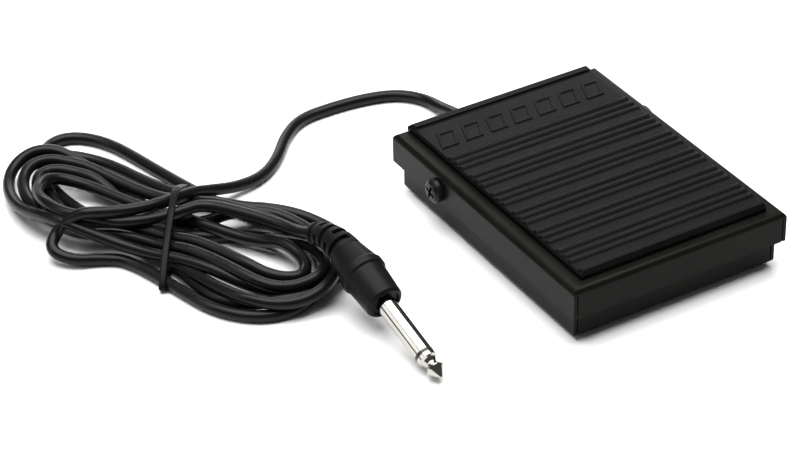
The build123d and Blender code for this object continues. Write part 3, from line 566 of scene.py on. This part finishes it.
GRAIN = surface_grain()
DUST = settled_dust()
FINISHES = {
    "black_steel": dark_finish(
        "black_steel",
        dark=(0.0036, 0.0036, 0.0028),
        light=(0.0048, 0.0048, 0.0038),
        rough=(0.28, 0.36),
        shine=0.06,
        grain_size=1300.0,
        grain_depth=0.000035,
        dust=0.05,
    ),
    "black_rubber": dark_finish(
        "black_rubber",
        dark=(0.0018, 0.0018, 0.0018),
        light=(0.0028, 0.0028, 0.0027),
        rough=(0.34, 0.44),
        shine=0.05,
        grain_size=2600.0,
        grain_depth=0.00003,
        dust=0.06,
    ),
    "black_screw": dark_finish(
        "black_screw",
        dark=(0.005, 0.005, 0.005),
        light=(0.009, 0.009, 0.009),
        rough=(0.22, 0.34),
        shine=0.12,
        grain_size=2000.0,
        grain_depth=0.00001,
        dust=0.03,
    ),
    "switch_plastic": dark_finish(
        "switch_plastic",
        dark=(0.012, 0.012, 0.012),
        light=(0.018, 0.018, 0.018),
        rough=(0.3, 0.4),
        shine=0.4,
        grain_size=1500.0,
        grain_depth=0.00001,
        dust=0.0,
    ),
    "cord_vinyl": dark_finish(
        "cord_vinyl",
        dark=(0.0036, 0.0036, 0.004),
        light=(0.0052, 0.0052, 0.0056),
        rough=(0.24, 0.32),
        shine=0.15,
        grain_size=900.0,
        grain_depth=0.000018,
        dust=0.05,
    ),
    "plug_vinyl": dark_finish(
        "plug_vinyl",
        dark=(0.0038, 0.0038, 0.0038),
        light=(0.0052, 0.0052, 0.0052),
        rough=(0.38, 0.48),
        shine=0.09,
        grain_size=2200.0,
        grain_depth=0.00003,
        dust=0.06,
    ),
    "tie_plastic": dark_finish(
        "tie_plastic",
        dark=(0.003, 0.003, 0.003),
        light=(0.0045, 0.0045, 0.0045),
        rough=(0.36, 0.46),
        shine=0.08,
        grain_size=1600.0,
        grain_depth=0.00002,
        dust=0.05,
    ),
    "nylon": pale_plastic("nylon", (0.58, 0.56, 0.5), (0.66, 0.64, 0.58), (0.4, 0.55)),
    "plunger_plastic": pale_plastic("plunger_plastic", (0.45, 0.05, 0.035), (0.55, 0.07, 0.05), (0.3, 0.4)),
    "wire_white": pale_plastic("wire_white", (0.66, 0.66, 0.64), (0.74, 0.74, 0.72), (0.3, 0.4)),
    "zinc_steel": bare_metal(
        "zinc_steel",
        dark=(0.5, 0.51, 0.53),
        light=(0.62, 0.62, 0.64),
        rough=(0.22, 0.38),
        brush=(900.0, 900.0, 60.0),
    ),
    "spring_steel": bare_metal(
        "spring_steel",
        dark=(0.36, 0.36, 0.38),
        light=(0.45, 0.45, 0.46),
        rough=(0.25, 0.4),
        brush=(60.0, 900.0, 900.0),
    ),
    "tinned_brass": bare_metal(
        "tinned_brass",
        dark=(0.66, 0.63, 0.54),
        light=(0.78, 0.75, 0.66),
        rough=(0.25, 0.4),
        brush=(500.0, 500.0, 60.0),
    ),
    "nickel": bare_metal(
        "nickel",
        dark=(0.36, 0.348, 0.32),
        light=(0.5, 0.487, 0.455),
        rough=(0.05, 0.14),
        brush=(60.0, 2200.0, 60.0),
        smudge=90.0,
    ),
}
SLOTS = {part["node"]: part["material_slot"] for part in frame["record"]["subparts"]}


def dress(piece, slot):
    """Gives a new piece its finish."""
    piece.data.materials.clear()
    piece.data.materials.append(FINISHES[slot])


def dress_nodes():
    for name, node in NODES.items():
        for material_slot in node.material_slots:
            material_slot.link = "OBJECT"
            material_slot.material = FINISHES[SLOTS[name]]


# ---------------------------------------------------------------- pieces with broken edges


def finish_mesh(piece, sharp=35.0):
    """Smooth faces with crisp folds kept sharp, and flats that stay flat."""
    piece.data.shade_smooth()
    piece.data.set_sharp_from_angle(angle=math.radians(sharp))
    even = piece.modifiers.new("even_flats", "WEIGHTED_NORMAL")
    even.keep_sharp = True


def add_piece(name, shape):
    mesh = bpy.data.meshes.new(name)
    shape.to_mesh(mesh)
    shape.free()
    piece = bpy.data.objects.new(name, mesh)
    bpy.context.collection.objects.link(piece)
    return piece


def broken_edges(node, body, width, fold=28.0):
    """A copy of a CAD node whose sharp edges are broken, as paint and moulding leave them."""
    shape = bmesh.new()
    shape.from_mesh(NODES[node].data)
    bmesh.ops.remove_doubles(shape, verts=shape.verts, dist=0.000002)
    bmesh.ops.dissolve_limit(shape, angle_limit=math.radians(0.6), verts=shape.verts, edges=shape.edges)
    sharp = [e for e in shape.edges if e.is_manifold and e.calc_face_angle() > math.radians(fold)]
    bmesh.ops.bevel(
        shape,
        geom=sharp,
        offset=width,
        segments=2,
        profile=0.5,
        affect="EDGES",
        material=-1,
        clamp_overlap=True,
    )
    piece = add_piece(node + "_finished", shape)
    finish_mesh(piece)
    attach(piece, body)
    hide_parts(node)
    dress(piece, SLOTS[node])
    return piece


# ---------------------------------------------------------------- the tie round the hank

TIE_PLACE = (-117.0, 62.0)
TIE_ANGLE = math.radians(55.0)
TIE_WIDTH = 2.4
TIE_THICKNESS = 1.2
TIE_SLACK = 2.5


def tie_hull(line):
    """The closed outline, along the tie and up, that goes round every strand it crosses."""
    along = Vector((math.cos(TIE_ANGLE), math.sin(TIE_ANGLE), 0))
    across = along.cross(Vector((0, 0, 1)))
    middle = Vector((*TIE_PLACE, 0)) * MM
    ring = (CORD_DIAMETER + TIE_THICKNESS) / 2 * MM * 1.04
    spots = []
    for place in line:
        away = place - middle
        if abs(away.dot(across)) < (TIE_WIDTH / 2 + 0.5) * MM and abs(away.dot(along)) < 30 * MM:
            for step in range(12):
                turn = math.tau * step / 12
                spots.append((away.dot(along) + ring * math.cos(turn), away.z + ring * math.sin(turn)))
    front = min(x for x, z in spots)
    spots.append((front - TIE_SLACK * MM, 2.2 * MM))
    spots = [(x, max(z, TIE_THICKNESS / 2 * MM)) for x, z in spots]
    return [spots[i] for i in convex_hull_2d(spots)]


def hank_tie(line):
    curve = bpy.data.curves.new("hank_tie_line", "CURVE")
    curve.dimensions = "2D"
    curve.fill_mode = "NONE"
    outline = tie_hull(line)
    spline = curve.splines.new("NURBS")
    spline.points.add(len(outline) - 1)
    for point, (x, z) in zip(spline.points, outline):
        point.co = (x, z, 0, 1)
    spline.order_u = 3
    spline.use_cyclic_u = True
    curve.resolution_u = 6
    curve.extrude = (TIE_WIDTH - TIE_THICKNESS) / 2 * MM
    curve.bevel_depth = TIE_THICKNESS / 2 * MM
    curve.bevel_resolution = 3
    flat = bpy.data.objects.new("hank_tie_line", curve)
    bpy.context.collection.objects.link(flat)
    mesh = bpy.data.meshes.new_from_object(flat)
    bpy.data.objects.remove(flat)
    along = Vector((math.cos(TIE_ANGLE), math.sin(TIE_ANGLE), 0))
    up = Vector((0, 0, 1))
    place = Matrix.Translation(Vector((*TIE_PLACE, 0)) * MM)
    turn = Matrix((along, up, along.cross(up))).transposed().to_4x4()
    mesh.transform(place @ turn)
    mesh.name = "hank_tie"
    tie = bpy.data.objects.new("hank_tie", mesh)
    bpy.context.collection.objects.link(tie)
    tie.data.shade_smooth()
    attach(tie, "base")
    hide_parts("cord_tie")
    dress(tie, "tie_plastic")
    return tie


# ---------------------------------------------------------------- the plug's slotted strain relief

PLUG_FACE = Vector((-83.8, -15.6, 11.0))
PLUG_POINT = Vector((-83.2, -47.1, 2.6))
GRIP_TO_BOOT = 23.0
BOOT_FRONT_RADIUS = 5.4
BOOT_BACK_RADIUS = 3.7
BOOT_SLOTS = 5
SLOT_LENGTH = 1.6
SLOT_DEPTH = 1.5
SLOT_SHARE = 0.36
BOOT_SIDES = 48


def boot_route():
    """Start, corner and end of the boot's bend, in millimetres."""
    back = (PLUG_FACE - PLUG_POINT).normalized()
    start = PLUG_FACE + back * GRIP_TO_BOOT
    chord = Vector(BOOT_END) - start
    corner = start + back * (chord.length**2 / (2 * chord.dot(back)))
    return [start, corner, Vector(BOOT_END)]


def boot_rows(length):
    """Distances along the boot where its ribs and slots begin and end."""
    rib = (length - BOOT_SLOTS * SLOT_LENGTH) / (BOOT_SLOTS + 1)
    rows = [0.0]
    for _ in range(BOOT_SLOTS):
        rows.append(rows[-1] + rib)
        rows.append(rows[-1] + SLOT_LENGTH)
    rows.append(length)
    return rows


def plug_boot():
    route = nurbs("boot_route", boot_route())
    route.data.resolution_u = 24
    line = line_points(route)
    bpy.data.objects.remove(route)
    length = sum((b - a).length for a, b in zip(line, line[1:]))
    rows = boot_rows(length / MM)
    shape = bmesh.new()
    spots = [shape.verts.new((0, 0, 0))]
    for row in rows:
        radius = BOOT_FRONT_RADIUS + (BOOT_BACK_RADIUS - BOOT_FRONT_RADIUS) * row / rows[-1]
        spots.append(shape.verts.new((radius * MM, 0, row * MM)))
    spots.append(shape.verts.new((0, 0, length)))
    edges = [shape.edges.new(pair) for pair in zip(spots, spots[1:])]
    bmesh.ops.spin(
        shape,
        geom=[*spots, *edges],
        cent=(0, 0, 0),
        axis=(0, 0, 1),
        angle=math.tau,
        steps=BOOT_SIDES,
        use_merge=True,
    )
    bmesh.ops.remove_doubles(shape, verts=shape.verts, dist=0.000005)
    bmesh.ops.recalc_face_normals(shape, faces=shape.faces)
    slots = [slot_faces(shape, rows, index) for index in range(BOOT_SLOTS)]
    for faces in slots:
        for side in faces:
            bmesh.ops.inset_region(
                shape,
                faces=side,
                thickness=0.00012,
                depth=-SLOT_DEPTH * MM,
                use_even_offset=True,
            )
    sharp = [e for e in shape.edges if e.is_manifold and e.calc_face_angle() > math.radians(40)]
    bmesh.ops.bevel(
        shape,
        geom=sharp,
        offset=0.00022,
        segments=2,
        profile=0.5,
        affect="EDGES",
        material=-1,
        clamp_overlap=True,
    )
    bend_along(shape, line, length)
    boot = add_piece("slotted_boot", shape)
    finish_mesh(boot, sharp=50.0)
    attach(boot, "base")
    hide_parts("plug_boot")
    dress(boot, "plug_vinyl")
    return boot


def slot_faces(shape, rows, index):
    """The two patches of faces, on opposite sides, that one pair of slots cuts into."""
    low = rows[1 + 2 * index] * MM
    high = rows[2 + 2 * index] * MM
    turn = math.pi / 4 + math.pi / 2 * (index % 2)
    sides = ([], [])
    for face in shape.faces:
        middle = face.calc_center_median()
        if not low < middle.z < high or math.hypot(middle.x, middle.y) < 0.002:
            continue
        across = middle.x * math.cos(turn) + middle.y * math.sin(turn)
        share = across / math.hypot(middle.x, middle.y)
        if share > SLOT_SHARE:
            sides[0].append(face)
        if share < -SLOT_SHARE:
            sides[1].append(face)
    return sides


def bend_along(shape, line, length):
    """Moves a shape built straight up Z onto a line of points."""
    reach = [0.0]
    for a, b in zip(line, line[1:]):
        reach.append(reach[-1] + (b - a).length)
    side = Vector((0, 0, 1)).cross(line[1] - line[0]).normalized()
    for vert in shape.verts:
        goal = min(max(vert.co.z, 0.0), length * 0.9999)
        index = max(i for i, r in enumerate(reach[:-1]) if r <= goal)
        share = (goal - reach[index]) / (reach[index + 1] - reach[index])
        ahead = (line[index + 1] - line[index]).normalized()
        up = ahead.cross(side).normalized()
        place = line[index].lerp(line[index + 1], share)
        vert.co = place + side * vert.co.x + up * vert.co.y


# ---------------------------------------------------------------- the whole object

add_camera()
add_room()
dress_nodes()

broken_edges("treadle_cover", "treadle", 0.00018)
broken_edges("tread_pad", "treadle", 0.00022)
broken_edges("base_tray", "base", 0.00015)
broken_edges("pivot_screws", "base", 0.00012)
grip = broken_edges("plug_grip", "base", 0.00025)

cord, cord_line = pedal_cord()
tie = hank_tie(cord_line)
boot = plug_boot()
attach(cord, "base")
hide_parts("cord_feed", "cord_hank", "cord_lead")
dress(cord, "cord_vinyl")

bpy.context.view_layer.update()
